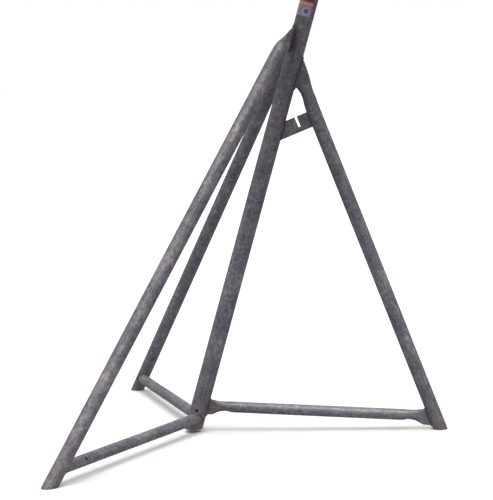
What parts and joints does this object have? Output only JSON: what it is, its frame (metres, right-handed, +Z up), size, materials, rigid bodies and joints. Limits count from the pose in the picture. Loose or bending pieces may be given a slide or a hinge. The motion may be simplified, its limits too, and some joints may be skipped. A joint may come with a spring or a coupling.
{
  "type": "tripod boat stand",
  "caption": "Galvanised tubular tripod boat stand: leaning post with three braced legs, chain plate, and a screw jack with a tilting pad.",
  "frame": {"origin": "where the post's axis meets the floor, just below the post's open lower end", "axes": "+Z up from the floor; +X from the post's foot to the front foot, the way the post leans; the stand mirrors about the plane Y = 0"},
  "size_m": [0.8735, 1.1366, 1.2851],
  "materials": {
    "galvanised_tube": "hot-dip galvanised tube, dull, mottled and weathered",
    "galvanised_plate": "hot-dip galvanised plate, dull and mottled",
    "galvanised_weld": "weld bead under galvanising, rippled and dull",
    "sticker": "printed vinyl sticker, faded",
    "cast_nut": "cast, galvanised, slightly rough",
    "bright_zinc": "zinc plated, satin",
    "screw_steel": "rolled thread, lightly greased",
    "plywood": "exterior plywood, sealed, satin",
    "black_rubber": "ribbed rubber sheet, matte"
  },
  "bodies": {
    "frame": {"main_post": "galvanised_tube", "front_leg": "galvanised_tube", "left_rear_leg": "galvanised_tube", "right_rear_leg": "galvanised_tube", "front_arm": "galvanised_tube", "left_rear_arm": "galvanised_tube", "right_rear_arm": "galvanised_tube", "chain_plate": "galvanised_plate", "front_leg_weld": "galvanised_weld", "left_rear_leg_weld": "galvanised_weld", "right_rear_leg_weld": "galvanised_weld", "hub_welds": "galvanised_weld", "foot_welds": "galvanised_weld", "chain_plate_welds": "galvanised_weld", "post_label": "sticker", "thrust_washer": "galvanised_plate"},
    "nut": {"handle_nut": "cast_nut", "handle_bars": "bright_zinc"},
    "screw": {"jack_screw": "screw_steel", "screw_lug": "galvanised_plate"},
    "head": {"pad_bracket": "galvanised_plate", "pivot_bolt": "bright_zinc", "pivot_nut": "bright_zinc", "top_plate": "galvanised_plate", "pad_board": "plywood", "pad_facing": "black_rubber", "pad_bolts": "bright_zinc"}
  },
  "joints": [
    {"name": "nut_turn", "type": "hinge", "parent": "frame", "child": "nut", "pos_m": [0.33353, 0, 1.08416], "axis": [-0.294, 0, -0.9558], "range_deg": [0, 30600]},
    {"name": "screw_lift", "type": "slide", "parent": "frame", "child": "screw", "axis": [0.294, 0, 0.9558], "range_m": [0, 0.4318]},
    {"name": "pad_tilt", "type": "hinge", "parent": "screw", "child": "head", "pos_m": [0.35735, 0, 1.16158], "axis": [0, 1, 0], "range_deg": [-30, 30]}
  ],
  "couplings": [
    {"joint": "screw_lift", "follows": "nut_turn", "m_per_rad": 0.00080851}
  ]
}
